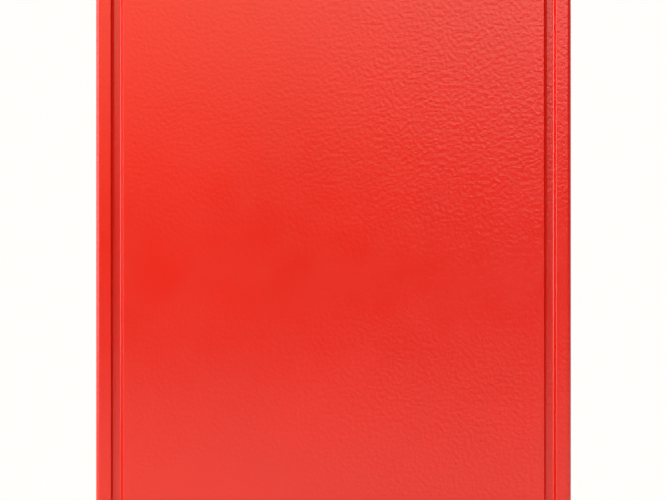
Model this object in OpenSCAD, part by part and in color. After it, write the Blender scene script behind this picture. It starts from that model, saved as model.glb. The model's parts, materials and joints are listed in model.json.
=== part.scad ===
// Standpipe cabinet: a wall-hung sheet-steel box with an overlay door, holding a
// length of riser pipe, a bolted branch outlet and an angle hose valve.
// Frame: the origin is the middle of the wall bolts on the wall face of the box,
// +Z is up, and the door faces -Y.

/* [Cabinet] */
// Width of the body and of the door
cabinet_w = 600; // [560:10:800]
// Height of the body and of the door
cabinet_h = 1000; // [960:10:1300]
// Depth from the wall face to the front of the door
cabinet_d = 250; // [246:2:340]
// Thickness of the body sheet
body_t = 1.5; // [1:0.1:2]
// How far the lip round the mouth of the body stands forwards of its flange
lip_h = 10; // [8:0.5:11]

/* [Wall fixing] */
// Distance from the side of the body to a wall bolt
bolt_inset_x = 60; // [50:5:90]
// Distance from the top or bottom of the body to a wall bolt
bolt_inset_z = 60; // [50:5:90]
// Diameter of a wall bolt hole
bolt_hole_d = 11; // [9:0.5:13]
// Side of the square doubler behind each wall bolt
doubler_w = 60; // [40:5:70]
// Thickness of a doubler
doubler_t = 3; // [2:0.5:5]

/* [Door] */
// Depth of the folded door
door_d = 22; // [21:0.5:27]
// Thickness of the door sheet
door_t = 1.5; // [1:0.1:2]
// Gap between the folded door and the body
door_gap = 2; // [1.5:0.1:3]
// Flat border between the edge of the door and its pressed groove
groove_inset = 20; // [18:0.5:30]
// Width of the pressed groove
groove_w = 14; // [13:0.5:18]
// Depth of the pressed groove
groove_depth = 6; // [2.5:0.25:7]
// Outer corner radius of the pressed groove
groove_r = 20; // [18:1:40]
// Width of the hem folded in behind the edge of the door
hem_w = 10; // [6:0.5:12]
// Width of the foam seal on the back of the groove
seal_w = 12; // [8:0.5:14]
// Gap left between the seal and the lip it closes on
seal_gap = 0.3; // [0.2:0.1:0.6]
// Distance from the middle of the door to a stiffener
stiffener_x = 130; // [80:5:160]
// Width of the raised web of a stiffener
stiffener_w = 30; // [20:1:40]
// Depth of a stiffener
stiffener_depth = 14; // [10:1:16]
// Thickness of the stiffener sheet
stiffener_t = 1.2; // [1:0.1:2]
// Width of each foot of a stiffener
stiffener_foot = 12; // [8:1:16]

/* [Hinges] */
// Distance from the top or bottom of the cabinet to the middle of a hinge
hinge_inset = 100; // [80:5:160]
// Height of a hinge
hinge_h = 80; // [60:2:100]
// Diameter of the hinge pin
pin_d = 6; // [5:0.5:6]
// Radius of the rolled knuckle
knuckle_r = 5.2; // [5:0.1:6]
// Thickness of a hinge leaf
leaf_t = 2; // [1.5:0.1:2.5]
// Depth of the leaf on the side of the body
leaf_w = 36; // [30:1:50]

/* [Locks] */
// Distance from the edge of the door to the middle of a lock
lock_inset_x = 62; // [58:1:75]
// Distance from the top or bottom of the door to the middle of a lock
lock_inset_z = 70; // [64:1:110]
// Radius of the lock's threaded barrel
barrel_r = 11; // [10:0.5:12]
// Radius of the lock's turning insert
insert_r = 7; // [6:0.5:8]
// Distance from the lock's middle to the tip of its cam
cam_reach = 50; // [47:1:56]
// Width of the cam
cam_w = 18; // [14:1:22]
// Thickness of the cam
cam_t = 3; // [2:0.5:4]

/* [Riser] */
// Outside diameter of the riser pipe
pipe_d = 76.1; // [60.3:0.1:76.1]
// Wall of the riser pipe
pipe_t = 3.6; // [2.9:0.1:5]
// Distance from the middle of the cabinet to the riser
riser_inset = 150; // [140:5:190]
// Distance from the wall face to the middle of the riser
riser_out = 85; // [84:1:110]
// Gap between each end of the riser and the outside of the cabinet
riser_recess = 30; // [20:1:60]
// Width of the gasket seat at each end of the riser
seat_w = 15.88; // [15:0.01:16.5]
// Width of the coupling groove in the riser
coupling_groove_w = 8.74; // [8:0.01:9.5]
// Depth of the coupling groove in the riser
coupling_groove_depth = 1.93; // [1.5:0.01:2.1]
// Diameter of the pipe hole in the top and bottom of the body
entry_d = 100; // [96:1:120]
// Radial width of the rubber ring in a pipe hole
ring_w = 6; // [4:0.5:8]

/* [Riser fixing] */
// Distance from the middle of the cabinet to a rail
rail_z = 330; // [300:5:380]
// Length of a rail
rail_len = 220; // [180:5:230]
// Height of the rail's section
rail_h = 41; // [36:1:50]
// Depth of the rail's section
rail_d = 21; // [18:1:24]
// Thickness of the rail's sheet
rail_t = 2.5; // [2:0.1:3]
// Width of the slot along the rail
rail_slot = 22; // [18:1:24]
// Height of a pipe clamp
clamp_h = 25; // [20:1:30]
// Thickness of a pipe clamp
clamp_t = 3; // [2:0.5:4]
// Thickness of the clamp's rubber liner
liner_t = 3; // [2:0.5:4]
// Reach of a clamp ear beyond its band
clamp_ear = 18; // [16:1:22]

/* [Branch outlet] */
// Height of the hose valve above the middle of the cabinet
valve_z = 120; // [60:5:170]
// Wall of the bolted branch housing
housing_t = 11; // [9:0.5:12]
// Height of the branch housing
housing_h = 110; // [100:2:130]
// Height of a housing ear
ear_h = 44; // [36:1:56]
// Diameter of the hole cut in the riser
branch_d = 60; // [50:1:62]
// Length of the socket on the housing
socket_len = 42; // [38:1:50]
// Depth to which a pipe end screws into a socket
thread_len = 25; // [20:1:28]
// Bare length of the nipple between the housing and the valve
nipple_bare = 30; // [20:1:50]

/* [Hose valve] */
// Radius of the valve's globe
globe_r = 50; // [48:0.5:60]
// Angle of the outlet forwards from straight down
outlet_angle = 45; // [30:1:60]
// Radius of the water way through the seat
seat_r = 27; // [24:0.5:28]
// Radius of the water way through the outlet
outlet_r = 28; // [25:0.5:30]
// Radius of the outlet's hose thread
hose_thread_r = 39; // [36:0.5:41]
// Travel of the valve disc
disc_lift = 22; // [16:1:24]
// Radius of the stem
stem_r = 8; // [7:0.25:8.5]
// Radius of the handwheel to the middle of its rim
wheel_r = 55; // [45:1:60]
// Radius of the rim's section
rim_r = 7; // [5:0.5:8]
// Radius of a spoke
spoke_r = 4.5; // [4:0.25:6]
// Number of spokes
spokes = 4; // [3:1:6]
// Wall of the outlet cap
cap_wall = 6.6; // [5:0.1:8]

/* [Spanner] */
// Distance from the middle of the cabinet to the spanner
spanner_x = 205; // [180:5:240]
// Height of the spanner's middle above the middle of the cabinet
spanner_z = -230; // [-260:10:-150]
// Length of the spanner's bar
spanner_len = 230; // [180:5:260]
// Width of the spanner's bar
spanner_w = 24; // [20:1:30]
// Thickness of the spanner
spanner_t = 6; // [4:0.5:8]

/* [Hidden] */
$fn = 64;

// Shared clearances
slip = 0.1;         // threads and pins that are in one another
free = 0.3;         // round pieces that turn or slide past one another
eps = 1;            // how far a cut runs past the face that it opens

// Cabinet planes and corners
half_w = cabinet_w / 2;
half_h = cabinet_h / 2;
front_y = -cabinet_d;
door_back_y = front_y + door_d;
body_front_y = door_back_y + door_gap;
inner_w = cabinet_w - 2 * body_t;
inner_h = cabinet_h - 2 * body_t;
// The lip stands on the middle of the groove, so the seal closes on it
groove_mid = groove_inset + groove_w / 2;
mouth_w = cabinet_w - 2 * groove_mid - body_t;
mouth_h = cabinet_h - 2 * groove_mid - body_t;
lip_front_y = body_front_y - lip_h;
groove_floor_y = front_y + groove_depth;
ridge_y = groove_floor_y + door_t;

// Wall bolts
bolt_x = half_w - bolt_inset_x;
bolt_z = half_h - bolt_inset_z;
doubler_y = -body_t - doubler_t;

// Hinges
hinge_z = half_h - hinge_inset;
axis_x = -half_w - knuckle_r - free;
axis_y = (door_back_y + body_front_y) / 2;
pin_r = pin_d / 2;
knuckle_gap = 0.5;
leaf_relief = knuckle_r + free + 0.5;
door_leaf_w = door_d - 2;
rivet_r = 2.4;
rivet_head_r = 4;
rivet_head_t = 1.5;
rivet_pitch = hinge_h * 0.35;
body_rivet_y = axis_y + leaf_w - 12;
door_rivet_y = axis_y - door_leaf_w / 2 - 3;

// Locks
lock_x = half_w - lock_inset_x;
lock_z = half_h - lock_inset_z;
lock_head_r = barrel_r + 4;
lock_head_t = 3;
lock_well_r = insert_r + 2;
lock_well_depth = 7;
lock_nut_t = 5;
cam_front_y = body_front_y + body_t + 1;
cam_back_y = cam_front_y + cam_t;
barrel_back_y = cam_front_y - 0.5;
key_side = 8;
cam_hole = 8;
screw_head_r = 6.5;
screw_head_t = 4;
screw_r = 3;

// Riser
pipe_r = pipe_d / 2;
riser_x = -riser_inset;
riser_y = -riser_out;
riser_end = half_h - riser_recess;

// Riser fixing
rail_front_y = -body_t - rail_d;
band_r = pipe_r + liner_t;
band_out = band_r + clamp_t;
ear_gap = 4;
clamp_bolt_r = 4;
clamp_bolt_x = band_out + clamp_ear / 2 + 1;
stud_r = 5;
stud_head_r = 9;
stud_head_len = 8;
rail_nut_w = 20;
rail_nut_t = 6;
rail_nut_h = rail_h - 2 * rail_t - 2;

// Branch outlet, measured from the riser's axis towards +X
housing_r = pipe_r + free;
housing_out = housing_r + housing_t;
ear_len = 24;
ear_t = 14;
split = 1;
branch_bolt_r = 6;
branch_bolt_y = housing_out + ear_len / 2 - 1;
hex_t = 9;
gasket_w = 9;
gasket_t = 4;
socket_r = pipe_r + 9;
socket_end = housing_out - 10 + socket_len;
nipple_start = socket_end - thread_len;
inlet_face = socket_end + nipple_bare;
nipple_end = inlet_face + thread_len;

// Hose valve, measured from the middle of its globe
inlet_len = 85;
valve_x = riser_x + inlet_face + inlet_len;
bonnet_face = globe_r + 2;
chamber_r = seat_r + 9;
chamber_back = -20;
seat_lip = 2;
seat_face = chamber_back + seat_lip;
mouth_r = chamber_r - 2;
neck_r = 17;
neck_end = bonnet_face + 42;
packing_r = stem_r + 4;
packing_back = neck_end - 12;
packing_len = 8;
gland_back = neck_end - 8;
gland_end = neck_end + 8;
gland_wall = 4;
washer_t = 4;
disc_r = seat_r + 3;
disc_t = 10;
disc_back = seat_face + free + washer_t;
boss_r = 15;
boss_end = disc_back + disc_t + 12;
stem_tip = disc_back + 8;
// The lifted disc stops short of the bonnet's spigot
spigot_len = bonnet_face - boss_end - disc_lift - 6;
hub_face = gland_end + 18;
hub_len = 20;
hub_r = 15;
tenon_r = stem_r - 1.5;
stem_end = hub_face + hub_len + 12;
wheel_nut_t = 7;
wheel_washer_t = 1.5;
neck_len = 62;
adapter_spigot = 20;
collar_t = 12;
collar_r = hose_thread_r + 8;
hose_thread_len = 22;
thread_start = neck_len + collar_t;
thread_end = thread_start + hose_thread_len;
cap_start = thread_start + 2;
cap_gasket_t = 2;
cap_floor = thread_end + free + cap_gasket_t;
cap_end = cap_floor + 6;
cap_in_r = hose_thread_r + free + 0.1;
cap_out_r = cap_in_r + cap_wall;
lug_r = 6;
lug_reach = 11;
button_r = 8;
button_head_r = 13;
button_len = 8;
button_head_t = 3;
swivel_t = 2.5;
swivel_eye = 22;

// Spanner
clip_t = 1.2;
clip_w = 14;
clip_z = spanner_len * 0.3;
spanner_back = -body_t - clip_t - free;
hook_r = 34;
hook_in = 22;

// ---------- shapes that repeat ----------

module slab(w, h, y0, y1) translate([-w / 2, y0, -h / 2]) cube([w, y1 - y0, h]);

module along_y(y0, y1) translate([0, y1, 0]) rotate([90, 0, 0]) linear_extrude(y1 - y0) children();

module rod_x(r, x0, x1) translate([x0, 0, 0]) rotate([0, 90, 0]) cylinder(r = r, h = x1 - x0);

module rod_y(r, y0, y1) translate([0, y1, 0]) rotate([90, 0, 0]) cylinder(r = r, h = y1 - y0);

module rod_z(r, z0, z1) translate([0, 0, z0]) cylinder(r = r, h = z1 - z0);

module tube_x(r_out, r_in, x0, x1) difference() {
    rod_x(r_out, x0, x1);
    rod_x(r_in, x0 - eps, x1 + eps);
}

module tube_z(r_out, r_in, z0, z1) difference() {
    rod_z(r_out, z0, z1);
    rod_z(r_in, z0 - eps, z1 + eps);
}

module hex_x(r, x0, x1) rod_x(r, x0, x1, $fn = 6);

module rounded_rect(w, h, r) {
    square([w - 2 * r, h], center = true);
    square([w, h - 2 * r], center = true);
    for (sx = [-1, 1], sz = [-1, 1])
        translate([sx * (w / 2 - r), sz * (h / 2 - r)]) circle(r = r);
}

// A ring that follows the groove, standing off it by grow on both sides
module groove_ring(grow, y0, y1) along_y(y0, y1) difference() {
    rounded_rect(cabinet_w - 2 * (groove_inset - grow), cabinet_h - 2 * (groove_inset - grow),
        groove_r + grow);
    rounded_rect(cabinet_w - 2 * (groove_inset + groove_w + grow),
        cabinet_h - 2 * (groove_inset + groove_w + grow), max(groove_r - groove_w - grow, 1));
}

module at_corners(x, z) for (sx = [-1, 1], sz = [-1, 1]) translate([sx * x, 0, sz * z]) children();

module at_both(z) for (sz = [-1, 1]) translate([0, 0, sz * z]) children();

module at_riser() translate([riser_x, riser_y, 0]) children();

module at_branch() translate([riser_x, riser_y, valve_z]) children();

module at_valve() translate([valve_x, riser_y, valve_z]) children();

// Turns +Z to the direction in which the hose outlet points
module at_outlet() at_valve() rotate([180 - outlet_angle, 0, 0]) children();

module at_hinges() for (sz = [-1, 1]) translate([axis_x, axis_y, sz * hinge_z]) children();

module rivet_places(y) for (sz = [-1, 1], k = [-1, 0, 1])
    translate([-half_w, y, sz * hinge_z + k * rivet_pitch]) children();

module rivet_holes(y) rivet_places(y) rod_x(rivet_r + slip / 2, -leaf_t - eps, body_t + eps);

// ---------- body ----------

module side_panels() color("firebrick") difference() {
    for (side = [-1, 1]) translate([side * (half_w - body_t / 2), 0, 0])
        slab(body_t, cabinet_h, body_front_y, 0);
    rivet_holes(body_rivet_y);
}

// up is 1 for the top of the body and -1 for its bottom
module end_panel(up) color("firebrick") difference() {
    translate([0, 0, up * (half_h - body_t / 2)]) slab(inner_w, body_t, body_front_y, 0);
    at_riser() rod_z(entry_d / 2, -half_h - eps, half_h + eps);
}

module top_panel() end_panel(1);

module bottom_panel() end_panel(-1);

// The flange round the mouth and the lip that stands forwards of it
module front_rim() color("firebrick") difference() {
    union() {
        slab(inner_w, inner_h, body_front_y, body_front_y + body_t);
        slab(mouth_w + 2 * body_t, mouth_h + 2 * body_t, lip_front_y, body_front_y + body_t);
    }
    slab(mouth_w, mouth_h, lip_front_y - eps, body_front_y + 2 * body_t);
}

module back_panel() color("firebrick") difference() {
    slab(inner_w, inner_h, -body_t, 0);
    at_corners(bolt_x, bolt_z) rod_y(bolt_hole_d / 2, -body_t - eps, eps);
}

module wall_doublers() color("firebrick") at_corners(bolt_x, bolt_z) difference() {
    slab(doubler_w, doubler_w, doubler_y, -body_t);
    rod_y(bolt_hole_d / 2, doubler_y - eps, -body_t + eps);
}

module pipe_entry_rings() color("dimgray") at_riser() for (up = [0, 1]) mirror([0, 0, up])
    difference() {
        union() {
            rod_z(entry_d / 2, -half_h, -half_h + body_t);
            rod_z(entry_d / 2 + 4, -half_h + body_t, -half_h + body_t + 3);
        }
        rod_z(entry_d / 2 - ring_w, -half_h - eps, -half_h + body_t + 3 + eps);
    }

// ---------- hinges ----------

// side is 1 for the leaf on the body and -1 for the leaf on the door
module hinge_leaf(side, depth, bore_r) {
    leaf_x = -half_w - axis_x;
    half = hinge_h / 2;
    z0 = side > 0 ? -half : knuckle_gap / 2;
    z1 = side > 0 ? -knuckle_gap / 2 : half;
    difference() {
        union() {
            translate([leaf_x - leaf_t, side > 0 ? leaf_relief : -depth, -half])
                cube([leaf_t, depth - leaf_relief, hinge_h]);
            translate([leaf_x - leaf_t, side > 0 ? 0 : -leaf_relief, z0])
                cube([leaf_t, leaf_relief, z1 - z0]);
            rod_z(knuckle_r, z0, z1);
        }
        rod_z(bore_r, z0 - eps, z1 + eps);
    }
}

module body_hinge_leaves() color("firebrick") difference() {
    at_hinges() hinge_leaf(1, leaf_w, pin_r + 0.02);
    rivet_holes(body_rivet_y);
}

module door_hinge_leaves() color("firebrick") difference() {
    at_hinges() hinge_leaf(-1, door_leaf_w, pin_r + slip);
    rivet_holes(door_rivet_y);
}

module hinge_pins() color("silver") at_hinges() {
    rod_z(pin_r, -hinge_h / 2, hinge_h / 2);
    rod_z(knuckle_r - 0.5, -hinge_h / 2 - 2, -hinge_h / 2);
}

module rivets(y, sheet) rivet_places(y) {
    rod_x(rivet_r, -leaf_t, sheet);
    rod_x(rivet_head_r, -leaf_t - rivet_head_t, -leaf_t);
    rod_x(rivet_head_r - 0.5, sheet, sheet + rivet_head_t);
}

module body_hinge_rivets() color("silver") rivets(body_rivet_y, body_t);

module door_hinge_rivets() color("silver") rivets(door_rivet_y, door_t);

// ---------- riser and its fixing ----------

module riser_rails() color("silver") at_both(rail_z) translate([riser_x - rail_len / 2, 0, 0])
    rotate([90, 0, 90]) linear_extrude(rail_len) difference() {
        translate([rail_front_y, -rail_h / 2]) square([rail_d, rail_h]);
        translate([rail_front_y + rail_t, -rail_h / 2 + rail_t])
            square([rail_d - 2 * rail_t, rail_h - 2 * rail_t]);
        translate([rail_front_y - eps, -rail_slot / 2]) square([rail_t + 2 * eps, rail_slot]);
    }

module rail_nuts() color("silver") at_both(rail_z)
    translate([riser_x, rail_front_y + rail_t, 0]) difference() {
        slab(rail_nut_w, rail_nut_h, 0, rail_nut_t);
        rod_y(stud_r + slip, -eps, rail_nut_t + eps);
    }

module clamp_studs() color("silver") at_riser() at_both(rail_z) {
    translate([0, band_out, 0]) {
        difference() {
            rod_y(stud_head_r, 0, stud_head_len);
            translate([0, -band_out, 0]) rod_z(band_out, -clamp_h, clamp_h);
        }
        rod_y(stud_r, stud_head_len, rail_front_y + rail_t + rail_nut_t - riser_y - band_out);
    }
}

// Half of a pipe clamp; side is 1 for the half next to the rail
module clamp_half(side) at_riser() at_both(rail_z) difference() {
    union() {
        rod_z(band_out, -clamp_h / 2, clamp_h / 2);
        for (sx = [-1, 1]) translate([sx * (band_out + clamp_ear) / 2, side * (ear_gap + clamp_t) / 2, 0])
            slab(band_out + clamp_ear, clamp_h, -clamp_t / 2, clamp_t / 2);
    }
    rod_z(band_r, -clamp_h, clamp_h);
    translate([0, -side * (band_out + clamp_ear - ear_gap / 2), 0])
        slab(4 * band_out, 2 * clamp_h, -band_out - clamp_ear, band_out + clamp_ear);
    for (sx = [-1, 1]) translate([sx * clamp_bolt_x, 0, 0])
        rod_y(clamp_bolt_r + slip, -band_out, band_out);
}

module clamp_backs() color("silver") clamp_half(1);

module clamp_fronts() color("silver") clamp_half(-1);

module clamp_liners() color("dimgray") at_riser() at_both(rail_z)
    tube_z(band_r, pipe_r, -clamp_h / 2, clamp_h / 2);

module at_clamp_bolts() at_riser() at_both(rail_z)
    for (sx = [-1, 1]) translate([sx * clamp_bolt_x, 0, 0]) children();

module clamp_bolts() color("silver") at_clamp_bolts() {
    ear = ear_gap / 2 + clamp_t;
    rod_y(clamp_bolt_r, -ear, ear + 10);
    rod_y(7, -ear - 5, -ear, $fn = 6);
}

module clamp_nuts() color("silver") at_clamp_bolts() difference() {
    ear = ear_gap / 2 + clamp_t;
    rod_y(7, ear, ear + 6, $fn = 6);
    rod_y(clamp_bolt_r + slip, ear - eps, ear + 6 + eps);
}

module riser_pipe() color("silver") at_riser() difference() {
    tube_z(pipe_r, pipe_r - pipe_t, -riser_end, riser_end);
    for (up = [0, 1]) mirror([0, 0, up])
        tube_z(pipe_r + eps, pipe_r - coupling_groove_depth,
            riser_end - seat_w - coupling_groove_w, riser_end - seat_w);
    translate([0, 0, valve_z]) rod_x(branch_d / 2, 0, pipe_d);
}

// ---------- bolted branch ----------

module ear_block(sx) for (sy = [-1, 1])
    translate([sx > 0 ? split / 2 : -ear_t - split / 2, sy > 0 ? housing_out - 6 : -housing_out - ear_len + 4,
        -ear_h / 2]) cube([ear_t, ear_len + 2, ear_h]);

module branch_bolt_holes() for (sy = [-1, 1]) translate([0, sy * branch_bolt_y, 0])
    rod_x(branch_bolt_r + slip, -2 * ear_t, 2 * ear_t);

module branch_housing() color("firebrick") at_branch() difference() {
    union() {
        intersection() {
            rod_z(housing_out, -housing_h / 2, housing_h / 2);
            translate([split / 2, -housing_out, -housing_h])
                cube([housing_out, 2 * housing_out, 2 * housing_h]);
        }
        rod_x(socket_r, pipe_r - 8, socket_end);
        ear_block(1);
    }
    rod_z(housing_r, -housing_h, housing_h);
    intersection() {
        rod_x(branch_d / 2 + gasket_w + free, 0, housing_out);
        rod_z(housing_r + gasket_t, -housing_h, housing_h);
    }
    rod_x(branch_d / 2, 0, socket_end);
    rod_x(pipe_r + slip, nipple_start, socket_end + eps);
    branch_bolt_holes();
}

module branch_strap() color("firebrick") at_branch() difference() {
    union() {
        intersection() {
            rod_z(housing_out, -housing_h / 4, housing_h / 4);
            translate([-housing_out - split / 2, -housing_out, -housing_h])
                cube([housing_out, 2 * housing_out, 2 * housing_h]);
        }
        ear_block(-1);
    }
    rod_z(housing_r, -housing_h, housing_h);
    branch_bolt_holes();
}

module branch_gasket() color("dimgray") at_branch() intersection() {
    tube_x(branch_d / 2 + gasket_w, branch_d / 2 + 1, 0, housing_out);
    tube_z(housing_r + gasket_t, pipe_r, -housing_h / 2, housing_h / 2);
}

module at_branch_bolts() at_branch() for (sy = [-1, 1]) translate([0, sy * branch_bolt_y, 0]) children();

module branch_bolts() color("silver") at_branch_bolts() {
    grip = ear_t + split / 2;
    rod_x(branch_bolt_r, -grip - hex_t - 5, grip);
    rod_x(branch_bolt_r + 4, grip, grip + 7);
}

module branch_nuts() color("silver") at_branch_bolts() difference() {
    grip = ear_t + split / 2;
    hex_x(branch_bolt_r + 4.5, -grip - hex_t, -grip);
    rod_x(branch_bolt_r + slip, -grip - hex_t - eps, -grip + eps);
}

module branch_nipple() color("silver") at_branch()
    tube_x(pipe_r, pipe_r - pipe_t, nipple_start + slip, nipple_end);

// ---------- hose valve ----------

module valve_body() color("goldenrod") difference() {
    union() {
        at_valve() {
            sphere(r = globe_r);
            rod_x(globe_r - 4, -inlet_len + 22, 0);
            rod_x(globe_r, -inlet_len, -inlet_len + 24, $fn = 8);
            rod_x(globe_r - 5, 0, bonnet_face);
        }
        at_outlet() rod_z(globe_r - 8, 0, neck_len);
    }
    at_valve() {
        rod_x(pipe_r + slip, -inlet_len - eps, -inlet_len + thread_len + slip);
        rod_x(seat_r, -inlet_len, 0);
        difference() {
            rod_x(chamber_r, chamber_back, bonnet_face - spigot_len);
            tube_x(seat_r + 4, seat_r, chamber_back - eps, seat_face);
        }
        rod_x(mouth_r, 0, bonnet_face + eps);
    }
    at_outlet() {
        rod_z(outlet_r, 0, neck_len);
        rod_z(outlet_r + 5, neck_len - adapter_spigot, neck_len + eps);
    }
}

module valve_bonnet() color("goldenrod") at_valve() difference() {
    union() {
        rod_x(mouth_r - slip, bonnet_face - spigot_len, bonnet_face + 1.5);
        hex_x(globe_r - 2, bonnet_face + 1.5, bonnet_face + 13);
        rod_x(neck_r + 6, bonnet_face + 13, bonnet_face + 20);
        rod_x(neck_r, bonnet_face + 20, neck_end);
    }
    rod_x(stem_r + free, 0, neck_end + eps);
    rod_x(packing_r, packing_back, neck_end + eps);
}

module bonnet_gasket() color("dimgray") at_valve()
    tube_x(globe_r - 6, mouth_r, bonnet_face, bonnet_face + 1.5);

module gland_packing() color("beige") at_valve()
    tube_x(packing_r - slip, stem_r + free, packing_back, packing_back + packing_len);

module gland_follower() color("goldenrod") at_valve()
    tube_x(packing_r - slip, stem_r + free, packing_back + packing_len, gland_end - gland_wall);

module gland_nut() color("goldenrod") at_valve() difference() {
    hex_x(neck_r + 7, gland_back, gland_end);
    rod_x(neck_r + slip, gland_back - eps, gland_end - gland_wall);
    rod_x(stem_r + free, gland_back, gland_end + eps);
}

module outlet_adapter() color("goldenrod") at_outlet() difference() {
    union() {
        rod_z(outlet_r + 5 - slip, neck_len - adapter_spigot, neck_len);
        rod_z(collar_r, neck_len, thread_start, $fn = 6);
        rod_z(hose_thread_r, thread_start, thread_end);
    }
    rod_z(outlet_r, 0, thread_end + eps);
}

module valve_disc() color("goldenrod") at_valve() difference() {
    union() {
        rod_x(disc_r, disc_back, disc_back + disc_t);
        rod_x(boss_r, disc_back + disc_t, boss_end);
    }
    rod_x(stem_r + free, stem_tip - free, boss_end + eps);
    rod_x(screw_r, disc_back - eps, stem_tip - free);
}

module disc_washer() color("dimgray") at_valve()
    tube_x(disc_r - 1, screw_r, disc_back - washer_t, disc_back);

module disc_screw() color("silver") at_valve() {
    rod_x(screw_r, disc_back - washer_t, stem_tip - 2);
    hex_x(screw_head_r + 1, disc_back - washer_t - screw_head_t, disc_back - washer_t);
}

module valve_stem() color("silver") at_valve() {
    rod_x(stem_r, stem_tip, hub_face);
    rod_x(tenon_r, hub_face, stem_end);
}

module handwheel() color("red") at_valve() translate([hub_face, 0, 0]) difference() {
    union() {
        rod_x(hub_r, 0, hub_len);
        translate([hub_len / 2, 0, 0]) {
            rotate([0, 90, 0]) rotate_extrude() translate([wheel_r, 0]) circle(r = rim_r);
            for (k = [0:spokes - 1]) rotate([45 + k * 360 / spokes, 0, 0])
                rod_z(spoke_r, hub_r - 4, wheel_r);
        }
    }
    rod_x(tenon_r + slip / 2, -eps, hub_len + eps);
}

module wheel_washer() color("silver") at_valve()
    tube_x(tenon_r + 5, tenon_r + slip, hub_face + hub_len, hub_face + hub_len + wheel_washer_t);

module wheel_nut() color("silver") at_valve() difference() {
    start = hub_face + hub_len + wheel_washer_t;
    hex_x(tenon_r + 4.5, start, start + wheel_nut_t);
    rod_x(tenon_r + slip, start - eps, start + wheel_nut_t + eps);
}

// ---------- outlet cap ----------

module outlet_cap() color("goldenrod") at_outlet() {
    difference() {
        union() {
            rod_z(cap_out_r, cap_start, cap_end);
            for (sy = [-1, 1]) translate([0, 0, (cap_start + cap_end) / 2])
                rod_x(lug_r, sy > 0 ? cap_out_r - 3 : -cap_out_r - lug_reach,
                    sy > 0 ? cap_out_r + lug_reach : 3 - cap_out_r);
        }
        rod_z(cap_in_r, cap_start - eps, cap_floor);
    }
    rod_z(button_r, cap_end, cap_end + button_len);
    rod_z(button_head_r, cap_end + button_len - button_head_t, cap_end + button_len);
}

module cap_gasket() color("dimgray") at_outlet()
    tube_z(cap_in_r - slip, outlet_r, cap_floor - cap_gasket_t, cap_floor);

module cap_swivel() color("silver") at_outlet() translate([0, 0, cap_end + 1.2]) difference() {
    union() {
        cylinder(r = button_head_r, h = swivel_t);
        translate([-5, 0, 0]) cube([10, swivel_eye, swivel_t]);
        translate([0, swivel_eye, 0]) cylinder(r = 5, h = swivel_t);
    }
    translate([0, 0, -eps]) cylinder(r = button_r + free, h = swivel_t + 2 * eps);
    translate([0, swivel_eye, -eps]) cylinder(r = 2.2, h = swivel_t + 2 * eps);
}

// ---------- door ----------

module door_skin() color("red") difference() {
    union() {
        difference() {
            slab(cabinet_w, cabinet_h, front_y, door_back_y);
            slab(cabinet_w - 2 * door_t, cabinet_h - 2 * door_t, front_y + door_t, door_back_y - door_t);
            slab(cabinet_w - 2 * hem_w, cabinet_h - 2 * hem_w, front_y + door_t, door_back_y + eps);
        }
        groove_ring(door_t, front_y, ridge_y);
    }
    groove_ring(0, front_y - eps, groove_floor_y);
    at_both(lock_z) translate([lock_x, 0, 0]) rod_y(barrel_r + slip, front_y - eps, front_y + door_t + eps);
    rivet_holes(door_rivet_y);
}

module door_stiffeners() color("firebrick") for (sx = [-1, 1])
    translate([sx * stiffener_x, 0, -lock_z]) linear_extrude(2 * lock_z) {
        back = front_y + door_t;
        difference() {
            translate([-stiffener_w / 2, back]) square([stiffener_w, stiffener_depth]);
            translate([-stiffener_w / 2 + stiffener_t, back - eps])
                square([stiffener_w - 2 * stiffener_t, stiffener_depth - stiffener_t + eps]);
        }
        for (side = [0, 1]) mirror([side, 0]) translate([stiffener_w / 2 - stiffener_t, back])
            square([stiffener_foot + stiffener_t, stiffener_t]);
    }

module door_seal() color("dimgray") difference() {
    seal_out = 2 * (groove_mid - seal_w / 2);
    seal_in = 2 * (groove_mid + seal_w / 2);
    slab(cabinet_w - seal_out, cabinet_h - seal_out, ridge_y, lip_front_y - seal_gap);
    slab(cabinet_w - seal_in, cabinet_h - seal_in, ridge_y - eps, lip_front_y + eps);
}

// ---------- locks ----------

module at_lock(z) translate([lock_x, 0, z]) children();

module lock_barrels() color("silver") at_both(lock_z) translate([lock_x, 0, 0]) difference() {
    union() {
        rod_y(lock_head_r, front_y - lock_head_t, front_y);
        rod_y(barrel_r, front_y, barrel_back_y);
    }
    rod_y(lock_well_r, front_y - lock_head_t - eps, front_y - lock_head_t + lock_well_depth);
    rod_y(insert_r + slip, front_y, barrel_back_y + eps);
}

module lock_nuts() color("silver") at_both(lock_z) translate([lock_x, 0, 0]) difference() {
    nut_y = front_y + door_t;
    rod_y(barrel_r + 5, nut_y, nut_y + lock_nut_t, $fn = 6);
    rod_y(barrel_r + slip, nut_y - eps, nut_y + lock_nut_t + eps);
}

module lock_insert(z) color("silver") at_lock(z) {
    well_y = front_y - lock_head_t + lock_well_depth;
    rod_y(key_side / sqrt(3) + 0.5, well_y - 5.5, well_y, $fn = 3);
    rod_y(lock_well_r - free, well_y - 2, well_y - slip);
    rod_y(insert_r, well_y - slip, cam_front_y);
    slab(cam_hole, cam_hole, cam_front_y, cam_back_y);
}

// down is 1 where the cam hangs from its lock and -1 where it stands up
module lock_cam(z, down) color("silver") at_lock(z) along_y(cam_front_y, cam_back_y) difference() {
    union() {
        translate([-cam_w / 2, down > 0 ? -cam_reach : 0]) square([cam_w, cam_reach]);
        circle(r = cam_w / 2 + 2);
    }
    square(cam_hole + 2 * slip, center = true);
}

module lock_cam_screw(z) color("silver") at_lock(z)
    rod_y(screw_head_r, cam_back_y, cam_back_y + screw_head_t, $fn = 6);

module upper_insert() lock_insert(lock_z);

module upper_cam() lock_cam(lock_z, 1);

module upper_cam_screw() lock_cam_screw(lock_z);

module lower_insert() lock_insert(-lock_z);

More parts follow.
